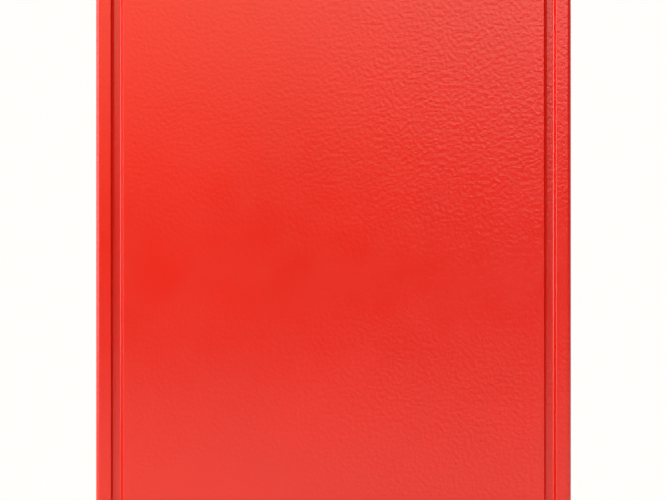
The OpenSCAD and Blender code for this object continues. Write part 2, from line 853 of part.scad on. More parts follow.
module lower_cam() lock_cam(-lock_z, -1);

module lower_cam_screw() lock_cam_screw(-lock_z);

// ---------- spanner ----------

module hose_spanner() color("silver") translate([spanner_x, 0, spanner_z])
    along_y(spanner_back - spanner_t, spanner_back) difference() {
        union() {
            translate([-spanner_w / 2, -spanner_len / 2]) square([spanner_w, spanner_len]);
            translate([0, spanner_len / 2 + hook_in]) circle(r = hook_r);
            translate([0, -spanner_len / 2]) circle(r = spanner_w / 2);
        }
        translate([0, spanner_len / 2 + hook_in]) circle(r = hook_in);
        translate([0, spanner_len / 2 + hook_in]) square([2 * hook_r, 2 * hook_r]);
        translate([0, -spanner_len / 2]) circle(r = 5);
    }

module spanner_clips() color("silver") for (sz = [-1, 1])
    translate([spanner_x, 0, spanner_z + sz * clip_z - clip_w / 2]) linear_extrude(clip_w) {
        gap = spanner_w / 2 + free;
        translate([-gap - clip_t, -body_t - clip_t]) square([2 * (gap + clip_t), clip_t]);
        for (side = [-1, 1]) translate([side > 0 ? gap : -gap - clip_t, spanner_back - spanner_t - 4])
            square([clip_t, spanner_t + 4 - spanner_back - body_t]);
    }

// ---------- the assembly ----------

side_panels();
top_panel();
bottom_panel();
front_rim();
back_panel();
wall_doublers();
pipe_entry_rings();
body_hinge_leaves();
hinge_pins();
body_hinge_rivets();
riser_rails();
rail_nuts();
clamp_studs();
clamp_backs();
clamp_fronts();
clamp_liners();
clamp_bolts();
clamp_nuts();
riser_pipe();
branch_housing();
branch_strap();
branch_gasket();
branch_bolts();
branch_nuts();
branch_nipple();
valve_body();
valve_bonnet();
bonnet_gasket();
gland_packing();
gland_follower();
gland_nut();
outlet_adapter();
spanner_clips();
valve_disc();
disc_washer();
disc_screw();
valve_stem();
handwheel();
wheel_washer();
wheel_nut();
cap_swivel();
outlet_cap();
cap_gasket();
door_skin();
door_stiffeners();
door_seal();
door_hinge_leaves();
door_hinge_rivets();
lock_barrels();
lock_nuts();
upper_insert();
upper_cam();
upper_cam_screw();
lower_insert();
lower_cam();
lower_cam_screw();
hose_spanner();
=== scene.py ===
import json
import math

import bmesh
import bpy
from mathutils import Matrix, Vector


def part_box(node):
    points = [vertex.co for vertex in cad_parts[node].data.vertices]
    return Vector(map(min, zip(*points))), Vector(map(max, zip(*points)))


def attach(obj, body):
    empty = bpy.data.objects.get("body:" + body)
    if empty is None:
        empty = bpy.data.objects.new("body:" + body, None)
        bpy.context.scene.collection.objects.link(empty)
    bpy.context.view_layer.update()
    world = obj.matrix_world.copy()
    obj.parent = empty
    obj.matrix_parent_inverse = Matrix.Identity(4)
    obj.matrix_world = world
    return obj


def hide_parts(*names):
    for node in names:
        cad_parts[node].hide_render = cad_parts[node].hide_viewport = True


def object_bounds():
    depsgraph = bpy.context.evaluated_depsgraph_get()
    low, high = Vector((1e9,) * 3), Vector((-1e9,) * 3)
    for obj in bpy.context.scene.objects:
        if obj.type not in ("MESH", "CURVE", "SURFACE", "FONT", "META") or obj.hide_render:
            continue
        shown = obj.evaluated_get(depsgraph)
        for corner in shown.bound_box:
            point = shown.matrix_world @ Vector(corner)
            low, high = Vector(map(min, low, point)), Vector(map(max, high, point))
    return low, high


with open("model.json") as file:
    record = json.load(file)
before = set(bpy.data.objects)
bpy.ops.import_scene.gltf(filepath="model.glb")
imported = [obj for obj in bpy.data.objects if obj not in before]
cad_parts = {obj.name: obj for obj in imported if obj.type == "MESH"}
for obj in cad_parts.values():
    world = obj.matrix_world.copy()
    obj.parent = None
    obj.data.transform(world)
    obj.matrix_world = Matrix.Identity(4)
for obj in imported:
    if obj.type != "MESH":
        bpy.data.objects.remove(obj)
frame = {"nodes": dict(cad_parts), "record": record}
cad_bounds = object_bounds()
MM = 0.001
TURN = 2 * math.pi
BODY_OF = {node: body for body, nodes in frame["record"]["behaviour"]["bodies"].items() for node in nodes}
SLOT_OF = {part["node"]: part["material_slot"] for part in frame["record"]["subparts"]}


# ---------- selecting and shaping ----------

def lone():
    """Nothing selected, so that the next operator acts on new work only."""
    if bpy.context.object and bpy.context.object.mode == "EDIT":
        bpy.ops.object.mode_set(mode="OBJECT")
    bpy.ops.object.select_all(action="DESELECT")


def hold(piece):
    """Makes one piece the only one selected."""
    lone()
    piece.select_set(True)
    bpy.context.view_layer.objects.active = piece


def block(low, high):
    """A box from one corner to the other."""
    low, high = Vector(low), Vector(high)
    lone()
    bpy.ops.mesh.primitive_cube_add(size=1, location=(low + high) / 2, scale=high - low)
    bpy.ops.object.transform_apply(location=True, rotation=True, scale=True)
    return bpy.context.object


def pick(kind, test):
    """Selects the verts, edges or faces of the piece in edit mode for which the test holds."""
    mesh = bmesh.from_edit_mesh(bpy.context.object.data)
    for group in (mesh.verts, mesh.edges, mesh.faces):
        for part in group:
            part.select = False
    bpy.context.tool_settings.mesh_select_mode = (kind == "verts", kind == "edges", kind == "faces")
    for part in getattr(mesh, kind):
        if test(part):
            part.select_set(True)
    bmesh.update_edit_mesh(bpy.context.object.data)


def near(a, b):
    """Two lengths that are the same but for rounding."""
    return abs(a - b) < 0.02 * MM


def on_plane(axis, at):
    """A test for edges and faces that lie in the plane where that coordinate is at."""
    def test(part):
        return all(near(v.co[axis], at) for v in part.verts)
    return test


def run(piece, kind, **settings):
    """Adds one modifier to a piece and applies it."""
    hold(piece)
    change = piece.modifiers.new(kind.lower(), kind)
    for name, value in settings.items():
        setattr(change, name, value)
    bpy.ops.object.modifier_apply(modifier=change.name)
    return piece


def carve(piece, tool, operation="DIFFERENCE"):
    """Cuts a piece with a tool, or keeps what both hold, and throws the tool away."""
    run(piece, "BOOLEAN", object=tool, operation=operation, solver="EXACT")
    bpy.data.objects.remove(tool)
    return piece


def soften(piece, radius, rounds=2, angle=32):
    """Breaks a piece's edges that are sharper than the angle."""
    return run(piece, "BEVEL", width=radius, segments=rounds, limit_method="ANGLE",
               angle_limit=math.radians(angle), use_clamp_overlap=True, miter_outer="MITER_ARC")


def turned(profile, at, axis, steps=72):
    """Spins a closed profile of (distance along the axis, radius) about that axis."""
    at, axis = Vector(at), Vector(axis).normalized()
    side = axis.orthogonal().normalized()
    points = [at + axis * along + side * radius for along, radius in profile]
    lone()
    bpy.ops.mesh.primitive_plane_add(size=MM, location=(0, 0, 0))
    piece = bpy.context.object
    bpy.ops.object.mode_set(mode="EDIT")
    bpy.ops.mesh.select_mode(type="VERT")
    bpy.ops.mesh.merge(type="CENTER")
    bpy.ops.transform.translate(value=points[0])
    for before, after in zip(points, points[1:]):
        bpy.ops.mesh.extrude_vertices_move(TRANSFORM_OT_translate={"value": after - before})
    bpy.ops.mesh.select_all(action="SELECT")
    if profile[0][1] > 0:
        bpy.ops.mesh.edge_face_add()
        bpy.ops.mesh.delete(type="ONLY_FACE")
        bpy.ops.mesh.select_all(action="SELECT")
    bpy.ops.mesh.spin(steps=steps, angle=TURN, center=at, axis=axis, use_auto_merge=True)
    bpy.ops.mesh.select_all(action="SELECT")
    bpy.ops.mesh.remove_doubles(threshold=0.002 * MM)
    bpy.ops.mesh.normals_make_consistent(inside=False)
    bpy.ops.object.mode_set(mode="OBJECT")
    return piece


def drill(radius, start, end, at, axis):
    """A cutter for a round hole between two distances along an axis."""
    return turned([(start, 0), (start, radius), (end, radius), (end, 0)], at, axis, 48)


def together(first, *others):
    """Joins pieces into the first one."""
    hold(first)
    if not others:
        return first
    for other in others:
        other.select_set(True)
    bpy.ops.object.join()
    return first


def copy_of(node):
    """A merged copy of a CAD node's mesh, with flat faces whole."""
    source = frame["nodes"][node]
    piece = source.copy()
    piece.data = source.data.copy()
    piece.parent = None
    for key in list(piece.keys()):
        del piece[key]
    bpy.context.scene.collection.objects.link(piece)
    piece.data.materials.clear()
    hold(piece)
    bpy.ops.mesh.customdata_custom_splitnormals_clear()
    bpy.ops.object.mode_set(mode="EDIT")
    bpy.ops.mesh.select_all(action="SELECT")
    bpy.ops.mesh.remove_doubles(threshold=0.005 * MM)
    bpy.ops.mesh.dissolve_limited(angle_limit=math.radians(0.5))
    bpy.ops.object.mode_set(mode="OBJECT")
    return piece


def cast(node, grain, passes):
    """A CAD node as a sand mould or a forging die leaves it: inner corners filled and edges run round."""
    piece = copy_of(node)
    run(piece, "TRIANGULATE")
    run(piece, "REMESH", mode="VOXEL", voxel_size=grain, adaptivity=0)
    run(piece, "SMOOTH", factor=0.5, iterations=passes)
    return piece


def place(piece, name, body, finish, *nodes, smooth=35):
    """Names a finished piece, gives it its finish and hands it to its body."""
    hold(piece)
    bpy.ops.object.transform_apply(location=True, rotation=True, scale=True)
    piece.name = name
    piece.data.name = name
    piece.data.materials.clear()
    piece.data.materials.append(FINISHES[finish])
    bpy.ops.object.shade_smooth_by_angle(angle=math.radians(smooth))
    if smooth < 60:
        run(piece, "WEIGHTED_NORMAL", keep_sharp=True)
    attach(piece, body)
    if nodes:
        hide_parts(*nodes)
    return piece


# ---------- shader sums ----------

class Signal:
    """A value in a finish's nodes that can be used in sums."""

    def __init__(self, tree, socket):
        self.tree, self.socket = tree, socket

    def sum(self, operation, other=None, swapped=False):
        """One Math node of this value and another, or of this value alone."""
        first, second = (other, self) if swapped else (self, other)
        return add_node(self.tree, "ShaderNodeMath", 0, {"operation": operation}, _0=first, _1=second)

    def __add__(self, other):
        return self.sum("ADD", other)

    def __sub__(self, other):
        return self.sum("SUBTRACT", other)

    def __rsub__(self, other):
        return self.sum("SUBTRACT", other, True)

    def __mul__(self, other):
        return self.sum("MULTIPLY", other)

    def above(self, level):
        """1 where the value is over the level and 0 elsewhere."""
        return self.sum("GREATER_THAN", level)

    def ramp(self, low, high, to_low=0.0, to_high=1.0):
        """The value stretched from one range to another, smoothly and held at both ends."""
        return add_node(self.tree, "ShaderNodeMapRange", "Result", {"interpolation_type": "SMOOTHSTEP"},
                        Value=self, From_Min=low, From_Max=high, To_Min=to_low, To_Max=to_high)


def feed(tree, slot, value):
    """Links a socket to a signal, or sets it to a number or a colour; None leaves it alone."""
    if isinstance(value, Signal):
        tree.links.new(value.socket, slot)
    elif isinstance(value, tuple) and len(value) < len(slot.default_value):
        slot.default_value = (*value, 1.0)
    elif value is not None:
        slot.default_value = value


def add_node(tree, kind, output=0, settings=None, **inputs):
    """Adds a node, makes its settings and feeds its inputs, which go by name or as _0, _1 by number."""
    made = tree.nodes.new(kind)
    for name, value in (settings or {}).items():
        setattr(made, name, value)
    for name, value in inputs.items():
        feed(tree, made.inputs[int(name[1:]) if name[0] == "_" else name.replace("_", " ")], value)
    return Signal(tree, made.outputs[output])


def mixed(tree, share, first, second):
    """Two colours mixed by a share."""
    return add_node(tree, "ShaderNodeMix", 2, {"data_type": "RGBA"}, _0=share, _6=first, _7=second)


class Finish:
    """One material: a principled surface whose inputs are numbers or sums of patterns."""

    def __init__(self, name):
        self.material = bpy.data.materials.new(name)
        self.material.use_nodes = True
        self.tree = self.material.node_tree
        self.surface = self.tree.nodes["Principled BSDF"]
        self.object = self.node("ShaderNodeTexCoord", "Object")

    def node(self, kind, output=0, **inputs):
        return add_node(self.tree, kind, output, **inputs)

    def noise(self, size, detail=2.0, rough=0.5, stretch=None):
        """Noise whose lumps are about size metres across."""
        where = self.object
        if stretch:
            where = self.node("ShaderNodeMapping", "Vector", Vector=where, Scale=stretch)
        return self.node("ShaderNodeTexNoise", "Fac", Vector=where, Scale=1 / size, Detail=detail,
                         Roughness=rough)

    def cells(self, size, output="Distance"):
        """Cells of about size metres: the distance to each one's middle, or its own colour."""
        return self.node("ShaderNodeTexVoronoi", output, Vector=self.object, Scale=1 / size)

    def cell_values(self, size):
        """Cells of about size metres, each with one value between 0 and 1."""
        return self.node("ShaderNodeSeparateColor", "Red", Color=self.cells(size, "Color"))

    def mix(self, share, first, second):
        return mixed(self.tree, share, first, second)

    def bump(self, height, depth, under=None):
        """A normal from a height, where depth is in metres, over another normal if there is one."""
        return self.node("ShaderNodeBump", "Normal", Height=height, Distance=depth, Normal=under)

    def set(self, **inputs):
        """Feeds the surface's own inputs."""
        for name, value in inputs.items():
            feed(self.tree, self.surface.inputs[name.replace("_", " ")], value)
        return self


# ---------- finishes ----------

PEEL_DEPTH, NIB_DEPTH = 0.46 * MM, 0.25 * MM
NIB_STEP = 45 * MM          # the cells of which a few hold a nib
SPANGLE = 9 * MM            # the size of a zinc crystal

def powder_coat(name, colour):
    """Gloss powder coat: slow colour clouds, orange peel that is heavier to the right, and a few nibs
    under the film."""
    paint = Finish(name)
    cloud = paint.noise(0.16, 3.0)
    shade = paint.mix(cloud.ramp(0.35, 0.65), tuple(c * 0.97 for c in colour), colour)
    waves = paint.noise(0.005, 1.0, 0.4)
    skin = paint.noise(0.0022, 2.0, 0.5)
    nib = paint.cells(NIB_STEP).ramp(0.028, 0.008) * paint.cell_values(NIB_STEP).above(0.72)
    thick = paint.node("ShaderNodeSeparateXYZ", "X", Vector=paint.object).ramp(-0.1, 0.2, 0.4, 1.0)
    peel = paint.bump((waves * 0.75 + skin * 0.25) * thick, PEEL_DEPTH)
    normal = paint.bump(nib, NIB_DEPTH, peel)
    gloss = paint.noise(0.05, 4.0).ramp(0.3, 0.7, 0.18, 0.22) + skin * 0.02
    return paint.set(Base_Color=shade, Roughness=gloss, Normal=normal, Specular_IOR_Level=0.5).material


def zinc_plate(name, colour):
    """Bright zinc: cloudy passivation, fine drawing marks and dull spots."""
    zinc = Finish(name)
    cloud = zinc.noise(0.012, 4.0)
    marks = zinc.noise(0.0007, 2.0, 0.6, (1, 1, 0.12))
    shade = zinc.mix(cloud.ramp(0.3, 0.7), tuple(c * 0.86 for c in colour), colour)
    rough = cloud.ramp(0.3, 0.7, 0.42, 0.28) + marks * 0.08
    normal = zinc.bump(marks * 0.5 + zinc.noise(0.0012) * 0.5, 0.00002)
    return zinc.set(Base_Color=shade, Metallic=1.0, Roughness=rough, Normal=normal).material


def galvanised(name):
    """Hot-dip zinc: spangle crystals, each with its own grey and gloss, and slow runs."""
    zinc = Finish(name)
    crystal = zinc.cell_values(SPANGLE)
    runs = zinc.noise(0.03, 3.0, 0.5, (1, 1, 0.3))
    grey = zinc.mix(crystal * 0.7 + runs * 0.3, (0.36, 0.38, 0.39), (0.62, 0.64, 0.65))
    rough = crystal.ramp(0.0, 1.0, 0.34, 0.5) + runs * 0.06
    normal = zinc.bump(runs * 0.7 + zinc.cells(SPANGLE) * 0.3, 0.00012)
    return zinc.set(Base_Color=grey, Metallic=0.9, Roughness=rough, Normal=normal).material


def enamelled_iron(name, colour):
    """Brush-dipped enamel over a sand casting."""
    iron = Finish(name)
    sand = iron.noise(0.0016, 3.0, 0.6)
    lumps = iron.noise(0.012, 2.0)
    shade = iron.mix(lumps.ramp(0.3, 0.7), tuple(c * 0.86 for c in colour), colour)
    normal = iron.bump(sand * 0.5 + lumps * 1.6, 0.0003)
    rough = lumps.ramp(0.3, 0.7, 0.36, 0.28)
    return iron.set(Base_Color=shade, Roughness=rough, Normal=normal, Coat_Weight=0.15).material


def brass(name):
    """Sand-cast brass, dull in its skin and brighter where the tarnish is thin."""
    metal = Finish(name)
    tarnish = metal.noise(0.02, 5.0, 0.6)
    sand = metal.noise(0.0011, 3.0, 0.6)
    shade = metal.mix(tarnish.ramp(0.36, 0.66), (0.42, 0.25, 0.085), (0.66, 0.43, 0.16))
    rough = tarnish.ramp(0.36, 0.66, 0.46, 0.3) + sand * 0.08
    normal = metal.bump(sand, 0.00014)
    return metal.set(Base_Color=shade, Metallic=1.0, Roughness=rough, Normal=normal).material


def satin_chrome(name):
    """Satin chrome on a die casting: fine turned marks and finger-dulled patches."""
    metal = Finish(name)
    marks = metal.noise(0.0005, 1.0, 0.5)
    cloud = metal.noise(0.008, 3.0)
    shade = metal.mix(cloud.ramp(0.3, 0.7), (0.62, 0.62, 0.63), (0.76, 0.76, 0.77))
    return metal.set(Base_Color=shade, Metallic=1.0, Roughness=cloud.ramp(0.3, 0.7, 0.3, 0.2) + marks * 0.05,
                     Normal=metal.bump(marks, 0.00001)).material


def rubber(name, colour, bloom, pore, depth, dullness):
    """A moulded or foamed strip: bloom in patches and pores of the given size."""
    strip = Finish(name)
    cloud = strip.noise(0.02, 4.0)
    pores = strip.cells(pore)
    shade = strip.mix(cloud.ramp(0.4, 0.75), colour, bloom)
    return strip.set(Base_Color=shade, Roughness=cloud.ramp(0.3, 0.7, dullness, dullness + 0.12),
                     Normal=strip.bump(pores, depth)).material


def forged_steel(name):
    """Tumbled forging: scale pits, brighter rubbed lands."""
    metal = Finish(name)
    pits = metal.noise(0.0014, 4.0, 0.65)
    cloud = metal.noise(0.02, 3.0)
    shade = metal.mix(cloud.ramp(0.35, 0.65), (0.3, 0.3, 0.31), (0.5, 0.5, 0.5))
    return metal.set(Base_Color=shade, Metallic=1.0, Roughness=pits.ramp(0.3, 0.7, 0.5, 0.34),
                     Normal=metal.bump(pits, 0.00012)).material


FINISHES = {
    "red_powder_coat": powder_coat("red_powder_coat", (0.565, 0.0075, 0.0015)),
    "zinc_plated_steel": zinc_plate("zinc_plated_steel", (0.66, 0.66, 0.64)),
    "galvanised_steel": galvanised("galvanised_steel"),
    "red_enamel_iron": enamelled_iron("red_enamel_iron", (0.56, 0.022, 0.012)),
    "cast_brass": brass("cast_brass"),
    "red_wheel_paint": enamelled_iron("red_wheel_paint", (0.66, 0.016, 0.01)),
    "lock_zinc": satin_chrome("lock_zinc"),
    "black_rubber": rubber("black_rubber", (0.018, 0.018, 0.019), (0.035, 0.035, 0.036),
                           pore=1.2 * MM, depth=0.04 * MM, dullness=0.5),
    "grey_foam": rubber("grey_foam", (0.03, 0.03, 0.032), (0.05, 0.05, 0.052),
                        pore=0.9 * MM, depth=0.3 * MM, dullness=0.8),
    "graphite_packing": rubber("graphite_packing", (0.05, 0.05, 0.055), (0.09, 0.09, 0.1),
                               pore=1.6 * MM, depth=0.4 * MM, dullness=0.5),
    "spanner_steel": forged_steel("spanner_steel"),
}


# ---------- door ----------

door_low, door_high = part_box("door_skin")
FRONT = door_low.y
SHEET = 1.5 * MM
FOLD = 5 * MM               # outer radius of the folded edges
FACE_FOLD = 6 * MM          # and of those round the door's face
GROOVE_INSET = 20 * MM
GROOVE_W = 14 * MM
GROOVE_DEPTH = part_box("door_seal")[0].y - SHEET - FRONT  # the seal lies on the back of the groove
GROOVE_CORNER = 20 * MM
CREST, VALLEY = 1.6 * MM, 4.6 * MM  # radii of the groove's lips and of its round floor
WALL_LEAN = math.radians(86)
LIP = CREST * math.sin(WALL_LEAN)  # how far a lip's round reaches outside the groove's wall
SHOULDER = 4 * MM           # how far the sheet is drawn down beside the groove
DRAWN = math.radians(2.5)   # its slope there
HEM = 10 * MM               # the edge that is folded in behind
FACE_RIM = 8 * MM           # the plain ring of the face in which the pressing is set
LOCK_HOLE_R = 11.1 * MM
LOCK_CUT = (-5 * MM, 8 * MM)  # a lock's hole is cut from before the face to behind its sheet


def arc_steps(radius, start, end, count):
    """(run, drop) of each short stretch of an arc between two slopes."""
    angles = [start + (end - start) * k / count for k in range(count + 1)]
    return [(abs(radius * (math.sin(b) - math.sin(a))), abs(radius * (math.cos(a) - math.cos(b))))
            for a, b in zip(angles, angles[1:])]


def groove_steps():
    """The pressed groove as (inward, into the door) steps, from its outer lip to its inner one and
    over the shoulder where the sheet comes back to the panel's plane."""
    down = arc_steps(CREST, 0, WALL_LEAN, 5)
    bend = arc_steps(VALLEY, WALL_LEAN, 0, 9)
    wall = GROOVE_DEPTH - sum(drop for _, drop in down + bend)
    down += [(wall / math.tan(WALL_LEAN), wall)] + bend
    floor = (GROOVE_W + 2 * LIP - 2 * sum(run for run, _ in down)) / 2
    up = [(run, -drop) for run, drop in reversed(down)]
    shoulder = arc_steps(SHOULDER / math.sin(DRAWN), DRAWN, 0, 4)
    sunk = sum(drop for _, drop in shoulder)
    up[-1] = (up[-1][0], up[-1][1] + sunk)
    return down + [(floor, 0), (floor, 0)] + up + [(run, -drop) for run, drop in shoulder]


def pressed_door():
    """The folded door pan with its pressed groove, hemmed behind and cut for the two locks."""
    pan = block(door_low, door_high)
    bpy.ops.object.mode_set(mode="EDIT")
    pick("edges", lambda e: any(near(v.co.y, FRONT) for v in e.verts))
    bpy.ops.mesh.bevel(offset=FACE_FOLD, segments=8, affect="EDGES")
    behind, before = on_plane(1, door_high.y), on_plane(1, FRONT)
    pick("faces", behind)
    bpy.ops.mesh.inset(thickness=HEM)
    bpy.ops.mesh.delete(type="FACE")
    pick("edges", lambda e: behind(e) and len(e.link_faces) == 2
         and any(not behind(f) for f in e.link_faces))
    bpy.ops.mesh.bevel(offset=FOLD, segments=3, affect="EDGES")
    pick("faces", before)
    bpy.ops.mesh.inset(thickness=FACE_RIM)
    bpy.ops.mesh.delete(type="FACE")
    bpy.ops.mesh.primitive_plane_add(size=1, location=(0, FRONT, 0), rotation=(TURN / 4, 0, 0))
    wide, tall = 2 * (door_high.x - GROOVE_INSET + LIP), 2 * (door_high.z - GROOVE_INSET + LIP)
    bpy.ops.transform.resize(value=(wide, 1, tall), center_override=(0, FRONT, 0))
    pick("verts", lambda v: near(abs(v.co.x), wide / 2) and near(abs(v.co.z), tall / 2))
    bpy.ops.mesh.bevel(offset=GROOVE_CORNER + LIP, segments=12, affect="VERTICES")
    pick("faces", lambda f: before(f) and len(f.verts) > 40)
    for inward, into in groove_steps():
        bpy.ops.mesh.inset(thickness=inward, depth=-into)
    pick("edges", lambda e: e.is_boundary and before(e))
    bpy.ops.mesh.bridge_edge_loops()
    bpy.ops.mesh.select_all(action="SELECT")
    bpy.ops.mesh.normals_make_consistent(inside=False)
    bpy.ops.object.mode_set(mode="OBJECT")
    run(pan, "SOLIDIFY", thickness=SHEET, offset=-1, use_even_offset=True)
    for low, high in lock_boxes:
        middle = (low + high) / 2
        carve(pan, drill(LOCK_HOLE_R, *LOCK_CUT, (middle.x, FRONT, middle.z), (0, 1, 0)))
    return place(pan, "pressed_door", "door", "red_powder_coat", "door_skin")


def halves(node):
    """The boxes of the lower and the upper solid of a node that has one of each."""
    corners = [v.co for v in frame["nodes"][node].data.vertices]
    found = []
    for side in (-1, 1):
        mine = [c for c in corners if c.z * side > 0]
        found.append((Vector(min(c[k] for c in mine) for k in range(3)),
                      Vector(max(c[k] for c in mine) for k in range(3))))
    return found


lock_boxes = halves("lock_barrels")
pressed_door()


# ---------- cabinet body ----------

riser_low, riser_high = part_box("riser_pipe")
RISER = (riser_low + riser_high) / 2
MOUTH_CORNER = 3 * MM       # the corners of the lip round the mouth
MOUTH_BEND = 1.6 * MM       # where the front flange turns out into the lip
GROMMET_WALL = 10 * MM      # from a pipe ring's outside to its bore
GROMMET_FLANGE = 4 * MM     # and to the edge of the hole that it sits in
GROMMET_LEN = 4.5 * MM
PAST = 9 * MM               # how far the cutter for the pipe holes stands out


def folded_body():
    """The wrapped body sheet with its front flange, the lip round the mouth and the two pipe holes."""
    side_low, side_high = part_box("side_panels")
    rim_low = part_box("front_rim")[0]
    lip = side_low.y - rim_low.y
    mouth = [v.co.x for v in frame["nodes"]["front_rim"].data.vertices if near(v.co.y, rim_low.y)]
    lip_inset = side_high.x - max(mouth)
    wrap = block(side_low, side_high)
    bpy.ops.object.mode_set(mode="EDIT")
    pick("edges", lambda e: any(near(v.co.y, side_low.y) for v in e.verts))
    bpy.ops.mesh.bevel(offset=FOLD, segments=6, affect="EDGES")
    pick("faces", on_plane(1, side_high.y))
    bpy.ops.mesh.delete(type="FACE")
    pick("faces", on_plane(1, side_low.y))
    bpy.ops.mesh.inset(thickness=lip_inset - FOLD)
    bpy.ops.mesh.extrude_region_move(TRANSFORM_OT_translate={"value": (0, -lip, 0)})
    bpy.ops.mesh.delete(type="FACE")
    pick("edges", lambda e: near(abs(e.verts[0].co.y - e.verts[1].co.y), lip)
         and all(v.co.y < side_low.y + MM for v in e.verts))
    bpy.ops.mesh.bevel(offset=MOUTH_CORNER, segments=4, affect="EDGES")
    pick("edges", lambda e: on_plane(1, side_low.y)(e) and len(e.link_faces) == 2
         and any(f.calc_center_median().y < side_low.y - MM for f in e.link_faces))
    bpy.ops.mesh.bevel(offset=MOUTH_BEND, segments=3, affect="EDGES")
    bpy.ops.object.mode_set(mode="OBJECT")
    run(wrap, "SOLIDIFY", thickness=SHEET, offset=-1, use_even_offset=True)
    ring_low, ring_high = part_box("pipe_entry_rings")
    hole_r = (ring_high.x - ring_low.x) / 2 - GROMMET_FLANGE
    carve(wrap, drill(hole_r, side_low.z - PAST, side_high.z + PAST, (RISER.x, RISER.y, 0), (0, 0, 1)))
    return place(wrap, "folded_body", "cabinet", "red_powder_coat",
                 "side_panels", "top_panel", "bottom_panel", "front_rim")


def pipe_grommets():
    """The two moulded rubber rings that snap over the edges of the pipe holes."""
    low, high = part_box("pipe_entry_rings")
    out = (high.x - low.x) / 2
    bore, hole, end = out - GROMMET_WALL, out - GROMMET_FLANGE, GROMMET_LEN
    rim, shy, sag = 1.2 * MM, 0.4 * MM, 0.3 * MM  # a rim's round, and the point in the middle of it
    profile = [(0, bore + MM), (shy, bore + sag), (rim, bore), (end - rim, bore),
               (end - shy, bore + sag), (end, bore + rim), (end, out - rim),
               (end - shy, out - sag), (end - rim, out), (SHEET, out),
               (SHEET, hole), (0.2 * MM, hole), (0, hole - shy)]
    rings = [turned(profile, (RISER.x, RISER.y, low.z), (0, 0, 1), 96),
             turned(profile, (RISER.x, RISER.y, high.z), (0, 0, -1), 96)]
    return place(together(*rings), "pipe_grommets", "cabinet", "black_rubber", "pipe_entry_rings")


def box_of(piece):
    """A piece's lowest and highest corner."""
    corners = [v.co for v in piece.data.vertices]
    return (Vector(min(c[k] for c in corners) for k in range(3)),
            Vector(max(c[k] for c in corners) for k in range(3)))


def parts_of(node):
    """A node's separate solids, each as a piece of its own."""
    copy_of(node)
    bpy.ops.object.mode_set(mode="EDIT")
    bpy.ops.mesh.select_all(action="SELECT")
    bpy.ops.mesh.separate(type="LOOSE")
    bpy.ops.object.mode_set(mode="OBJECT")
    return list(bpy.context.selected_objects)


def solids_of(node):
    """The boxes of a node's separate solids."""
    parts = parts_of(node)
    boxes = [box_of(part) for part in parts]
    for part in parts:
        bpy.data.objects.remove(part)
    return boxes


def domed_rivets(name, node, body):
    """Set rivets with a domed head outside and an upset tail inside."""
    head, hole, tail = 1.5 * MM, 0.6, 0.84  # the head's height; the others as shares of its radius
    made = []
    for low, high in solids_of(node):
        radius = (high.y - low.y) / 2
        reach = high.x - low.x
        outline = [(0, 0)] + [(head * (1 - math.cos(a)), radius * math.sin(a))
                              for a in (0.3, 0.6, 0.9, 1.2, TURN / 4)]
        outline += [(1.7 * MM, radius * 0.96), (1.7 * MM, radius * hole), (reach - 1.6 * MM, radius * hole),
                    (reach - 1.6 * MM, radius * tail), (reach - 0.5 * MM, radius * tail),
                    (reach - 0.1 * MM, radius * 0.7), (reach, 0)]
        at = (low.x, (low.y + high.y) / 2, (low.z + high.z) / 2)
        made.append(turned(outline, at, (1, 0, 0), 28))
    return place(together(*made), name, body, "zinc_plated_steel", node)


CREST_FROM, CREST_TO = 0.42, 0.58  # where in a pitch a thread's flat crest lies


def thread_outline(radius, start, end, pitch, depth):
    """The zigzag outline of a thread between two stations, from its first root to its last."""
    turns = max(1, int((end - start) / pitch))
    step = (end - start) / turns
    outline = []
    for k in range(turns):
        here = start + k * step
        outline += [(here, radius - depth), (here + CREST_FROM * step, radius),
                    (here + CREST_TO * step, radius)]
    return outline + [(end, radius - depth)]


def shank(radius, start, length, thread_len, pitch):
    """The outline of a bolt's shank from under its head to its chamfered tip."""
    thread = thread_outline(radius, length - thread_len, length - pitch, pitch, pitch * 0.5)
    return [(start, radius), (length - thread_len, radius)] + thread + [(length, radius - pitch), (length, 0)]


def hexagon(corner_r, length, start, way):
    """A hexagon head with its corners turned off at the outer end."""
    lone()
    bpy.ops.mesh.primitive_cylinder_add(vertices=6, radius=corner_r, depth=length,
                                        location=start + way * (length / 2))
    head = bpy.context.object
    head.rotation_mode = "QUATERNION"
    head.rotation_quaternion = way.to_track_quat("Z", "X")
    bpy.ops.object.transform_apply(location=True, rotation=True, scale=True)
    return chamfered(head, way, start, length, both=False)


def chamfered(piece, way, start, length, both=True):
    """Turns the corners off a hexagon, as on a bar machine."""
    low, high = box_of(piece)
    corner_r = max((high - low)[k] for k in range(3) if abs(way[k]) < 0.5) / 2
    flat_r = corner_r * math.cos(TURN / 12)
    drop = (corner_r - flat_r) * math.tan(TURN / 12) * 1.15  # a little steeper than 30 degrees
    full_r, face_r = corner_r * 1.02, flat_r * 0.98
    end = [(length + MM, full_r), (length + MM, 0)]
    if both:
        end = [(length - drop, full_r), (length, face_r), (length, 0)]
    lens = turned([(0, 0), (0, face_r), (drop, full_r)] + end, start, way)
    carve(piece, lens, "INTERSECT")
    return soften(piece, 0.2 * MM)


def hexagon_nuts(name, node, body, axis):
    """Nuts with chamfered corners at both faces."""
    made = []
    for nut in parts_of(node):
        low, high = box_of(nut)
        start = (low + high) / 2
        start[axis] = low[axis]
        made.append(chamfered(nut, Vector(float(k == axis) for k in range(3)), start, high[axis] - low[axis]))
    return place(together(*made), name, body, SLOT_OF[node], node)


